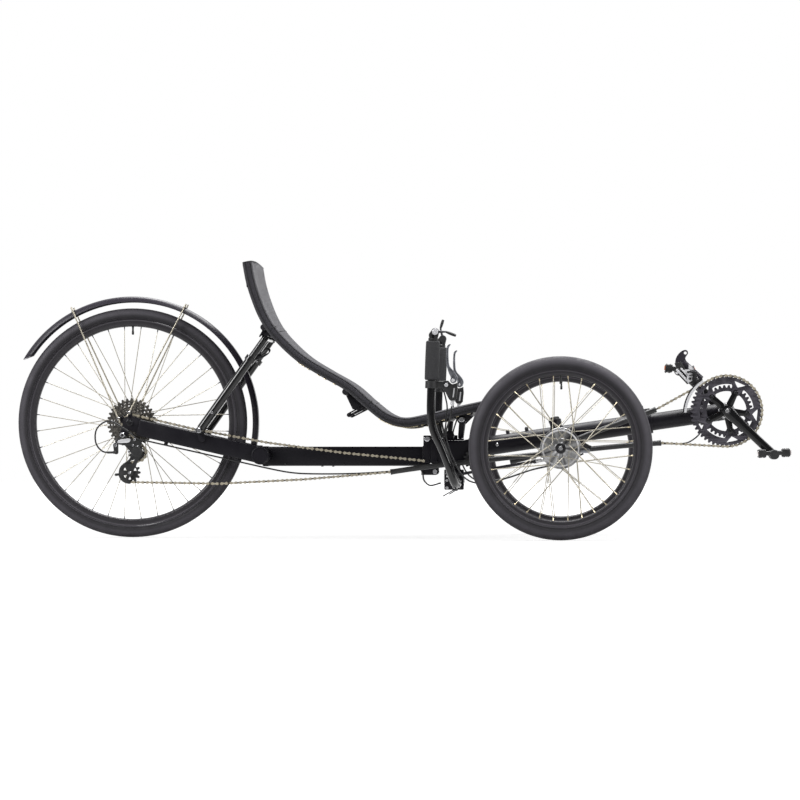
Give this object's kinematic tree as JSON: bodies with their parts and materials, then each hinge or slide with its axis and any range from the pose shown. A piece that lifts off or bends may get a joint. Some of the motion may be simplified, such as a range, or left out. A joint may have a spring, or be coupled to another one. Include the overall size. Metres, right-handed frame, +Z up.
{
  "type": "recumbent trike",
  "caption": "Tadpole recumbent trike with a sling seat, under-seat U bar steering, drum brakes, folding frame, sliding boom and chain drive to the rear wheel.",
  "frame": {"origin": "on the ground, under the middle of the bounding box", "axes": "+X forwards, +Y to the rider's left, +Z up; the chain runs on the -Y side"},
  "size_m": [2.1082, 0.817, 0.7483],
  "materials": {
    "frame_black": "satin black paint",
    "tyre_black": "black rubber",
    "rim_black": "black anodised",
    "silver": "polished alloy",
    "dark_steel": "black anodised alloy",
    "ring_grey": "graphite alloy",
    "steel": "plated steel",
    "chain": "plated chain links",
    "plastic_black": "moulded black plastic",
    "gloss_black": "glossy black plastic",
    "foam_black": "black foam",
    "seat_cloth": "dark speckled mesh cloth"
  },
  "bodies": {
    "front_frame": {"front_frame": "frame_black", "cross_beam_right": "frame_black", "cross_beam_left": "frame_black", "fold_hinge_pin": "steel", "seat_mount": "frame_black", "idler_bracket": "frame_black", "chain_tube_power": "plastic_black", "chain_tube_return": "plastic_black", "drive_chain": "chain"},
    "idler": {"idler_wheel": "plastic_black"},
    "rear_frame": {"rear_beam": "frame_black", "chainstay_right": "frame_black", "chainstay_left": "frame_black", "rear_axle": "steel", "fender": "gloss_black", "fender_stays": "steel", "fold_latch": "steel", "rear_shift_cable": "plastic_black"},
    "rear_wheel": {"rear_tyre": "tyre_black", "rear_rim": "rim_black", "rear_hub": "silver"},
    "cassette": {"cassette": "steel"},
    "rear_derailleur": {"rear_derailleur": "silver"},
    "derailleur_cage": {"derailleur_cage": "plastic_black"},
    "guide_pulley": {"guide_pulley": "plastic_black"},
    "tension_pulley": {"tension_pulley": "plastic_black"},
    "boom": {"boom": "frame_black", "derailleur_post": "frame_black"},
    "front_derailleur": {"front_derailleur_cage": "steel"},
    "crankset": {"crankset": "dark_steel", "chainrings": "ring_grey"},
    "handlebar": {"handlebar": "frame_black", "grip_right": "foam_black", "grip_left": "foam_black", "brake_cable_right": "plastic_black", "brake_cable_left": "plastic_black"},
    "seat": {"seat_frame": "frame_black", "seat_cover": "seat_cloth"},
    "strut_lower": {"strut_lower_right": "frame_black", "strut_lower_left": "frame_black"},
    "strut_upper": {"strut_upper": "frame_black"},
    "strut_clamp_lever": {"strut_clamp_lever": "dark_steel"},
    "right_pedal": {"pedal_right": "plastic_black"},
    "right_wheel": {"front_right_tyre": "tyre_black", "front_right_rim": "rim_black", "front_right_hub": "silver"},
    "right_knuckle": {"knuckle_right": "dark_steel"},
    "right_brake_arm": {"brake_arm_right": "steel"},
    "right_tie_rod": {"tie_rod_right": "frame_black"},
    "right_brake_lever": {"brake_lever_right": "silver"},
    "right_shift_lever": {"shift_lever_right": "dark_steel"},
    "left_pedal": {"pedal_left": "plastic_black"},
    "left_wheel": {"front_left_tyre": "tyre_black", "front_left_rim": "rim_black", "front_left_hub": "silver"},
    "left_knuckle": {"knuckle_left": "dark_steel"},
    "left_brake_arm": {"brake_arm_left": "steel"},
    "left_tie_rod": {"tie_rod_left": "frame_black"},
    "left_brake_lever": {"brake_lever_left": "silver"},
    "left_shift_lever": {"shift_lever_left": "dark_steel"}
  },
  "joints": [
    {"name": "fold_hinge", "type": "hinge", "parent": "front_frame", "child": "rear_frame", "pos_m": [0.09017, 0, 0.1803], "axis": [0, -1, 0], "range_deg": [0, 105], "deforming": ["drive_chain", "rear_shift_cable"]},
    {"name": "idler_spin", "type": "hinge", "parent": "front_frame", "child": "idler", "pos_m": [0.19787, -0.052, 0.214], "axis": [0, 1, 0], "continuous": true},
    {"name": "rear_wheel_spin", "type": "hinge", "parent": "rear_frame", "child": "rear_wheel", "pos_m": [-0.74013, 0, 0.314], "axis": [0, 1, 0], "continuous": true},
    {"name": "cassette_spin", "type": "hinge", "parent": "rear_frame", "child": "cassette", "pos_m": [-0.74013, 0, 0.314], "axis": [0, 1, 0], "continuous": true},
    {"name": "rear_derailleur_shift", "type": "slide", "parent": "rear_frame", "child": "rear_derailleur", "axis": [0, 0.9404, -0.3401], "range_m": [0, 0.034]},
    {"name": "derailleur_cage_swing", "type": "hinge", "parent": "rear_derailleur", "child": "derailleur_cage", "pos_m": [-0.71883, -0.061, 0.2309], "axis": [0, 1, 0], "range_deg": [-35, 35], "stiffness_Nm_per_rad": 1, "deforming": ["drive_chain"]},
    {"name": "guide_pulley_spin", "type": "hinge", "parent": "derailleur_cage", "child": "guide_pulley", "pos_m": [-0.71883, -0.061, 0.2309], "axis": [0, 1, 0], "continuous": true},
    {"name": "tension_pulley_spin", "type": "hinge", "parent": "derailleur_cage", "child": "tension_pulley", "pos_m": [-0.74063, -0.061, 0.1777], "axis": [0, 1, 0], "continuous": true},
    {"name": "boom_slide", "type": "slide", "parent": "front_frame", "child": "boom", "axis": [0.9895, 0, 0.1444], "range_m": [-0.03, 0.05], "deforming": ["drive_chain"]},
    {"name": "crank_spin", "type": "hinge", "parent": "boom", "child": "crankset", "pos_m": [0.88737, 0, 0.3455], "axis": [0, 1, 0], "continuous": true},
    {"name": "right_pedal_spin", "type": "hinge", "parent": "crankset", "child": "right_pedal", "pos_m": [1.01068, -0.142, 0.22848], "axis": [0, 1, 0], "continuous": true},
    {"name": "left_pedal_spin", "type": "hinge", "parent": "crankset", "child": "left_pedal", "pos_m": [0.76406, 0.142, 0.46252], "axis": [0, 1, 0], "continuous": true},
    {"name": "front_derailleur_shift", "type": "slide", "parent": "boom", "child": "front_derailleur", "axis": [0, 1, 0], "range_m": [0, 0.007], "deforming": ["drive_chain"]},
    {"name": "handlebar_steer", "type": "hinge", "parent": "front_frame", "child": "handlebar", "pos_m": [0.14487, 0, 0.145], "axis": [0, 0, 1], "range_deg": [-26, 26], "deforming": ["brake_cable_right", "brake_cable_left"]},
    {"name": "seat_recline", "type": "hinge", "parent": "front_frame", "child": "seat", "pos_m": [0.16487, 0, 0.322], "axis": [0, 1, 0], "range_deg": [0, 5]},
    {"name": "strut_pivot", "type": "hinge", "parent": "rear_frame", "child": "strut_lower", "pos_m": [-0.54673, 0, 0.292], "axis": [0, 1, 0], "range_deg": [-1.5, 0]},
    {"name": "strut_slide", "type": "slide", "parent": "strut_lower", "child": "strut_upper", "axis": [0.5795, 0, 0.815], "range_m": [0, 0.052]},
    {"name": "strut_lever", "type": "hinge", "parent": "strut_lower", "child": "strut_clamp_lever", "pos_m": [-0.40463, -0.0827, 0.492], "axis": [0, 1, 0], "range_deg": [0, 100]},
    {"name": "right_steer", "type": "hinge", "parent": "front_frame", "child": "right_knuckle", "pos_m": [0.43487, -0.32, 0.243], "axis": [-0.2049, 0.17, 0.9639], "range_deg": [-21.5, 21.5]},
    {"name": "right_wheel_spin", "type": "hinge", "parent": "right_knuckle", "child": "right_wheel", "pos_m": [0.43487, -0.372, 0.243], "axis": [0, 1, 0], "continuous": true},
    {"name": "right_brake_arm_swing", "type": "hinge", "parent": "right_knuckle", "child": "right_brake_arm", "pos_m": [0.45687, -0.372, 0.273], "axis": [0, 1, 0], "range_deg": [0, 2.3]},
    {"name": "right_tie_rod_swing", "type": "hinge", "parent": "handlebar", "child": "right_tie_rod", "pos_m": [0.12987, -0.03, 0.168], "axis": [0.0153, 0.0061, 0.9999], "range_deg": [-29, 29]},
    {"name": "right_brake_pull", "type": "hinge", "parent": "handlebar", "child": "right_brake_lever", "pos_m": [0.14787, -0.27, 0.424], "axis": [0, -1, 0], "range_deg": [0, 9], "stiffness_Nm_per_rad": 1},
    {"name": "right_shift", "type": "hinge", "parent": "handlebar", "child": "right_shift_lever", "pos_m": [0.10037, -0.27, 0.5534], "axis": [0, -1, 0], "range_deg": [0, 75]},
    {"name": "left_steer", "type": "hinge", "parent": "front_frame", "child": "left_knuckle", "pos_m": [0.43487, 0.32, 0.243], "axis": [-0.2049, -0.17, 0.9639], "range_deg": [-21.5, 21.5]},
    {"name": "left_wheel_spin", "type": "hinge", "parent": "left_knuckle", "child": "left_wheel", "pos_m": [0.43487, 0.372, 0.243], "axis": [0, 1, 0], "continuous": true},
    {"name": "left_brake_arm_swing", "type": "hinge", "parent": "left_knuckle", "child": "left_brake_arm", "pos_m": [0.45687, 0.372, 0.273], "axis": [0, 1, 0], "range_deg": [0, 2.3]},
    {"name": "left_tie_rod_swing", "type": "hinge", "parent": "handlebar", "child": "left_tie_rod", "pos_m": [0.12987, 0.03, 0.168], "axis": [0.0153, -0.0061, 0.9999], "range_deg": [-29, 29]},
    {"name": "left_brake_pull", "type": "hinge", "parent": "handlebar", "child": "left_brake_lever", "pos_m": [0.14787, 0.27, 0.424], "axis": [0, -1, 0], "range_deg": [0, 9], "stiffness_Nm_per_rad": 1},
    {"name": "left_shift", "type": "hinge", "parent": "handlebar", "child": "left_shift_lever", "pos_m": [0.10037, 0.27, 0.5534], "axis": [0, 1, 0], "range_deg": [0, 60]}
  ],
  "couplings": [
    {"joint": "cassette_spin", "follows": "crank_spin", "ratio": 4.3636},
    {"joint": "idler_spin", "follows": "crank_spin", "ratio": -3.6923},
    {"joint": "guide_pulley_spin", "follows": "crank_spin", "ratio": -4.3636},
    {"joint": "tension_pulley_spin", "follows": "crank_spin", "ratio": 3.6923},
    {"joint": "right_shift", "follows": "rear_derailleur_shift", "rad_per_m": 38.462},
    {"joint": "left_shift", "follows": "front_derailleur_shift", "rad_per_m": 149.25},
    {"joint": "strut_pivot", "follows": "seat_recline", "ratio": -0.2781},
    {"joint": "strut_slide", "follows": "seat_recline", "m_per_rad": 0.5685},
    {"joint": "right_steer", "follows": "handlebar_steer", "ratio": 0.8199},
    {"joint": "right_tie_rod_swing", "follows": "handlebar_steer", "ratio": -1.1074},
    {"joint": "right_brake_arm_swing", "follows": "right_brake_pull", "ratio": 0.25},
    {"joint": "left_steer", "follows": "handlebar_steer", "ratio": 0.8199},
    {"joint": "left_tie_rod_swing", "follows": "handlebar_steer", "ratio": -1.1074},
    {"joint": "left_brake_arm_swing", "follows": "left_brake_pull", "ratio": 0.25}
  ]
}
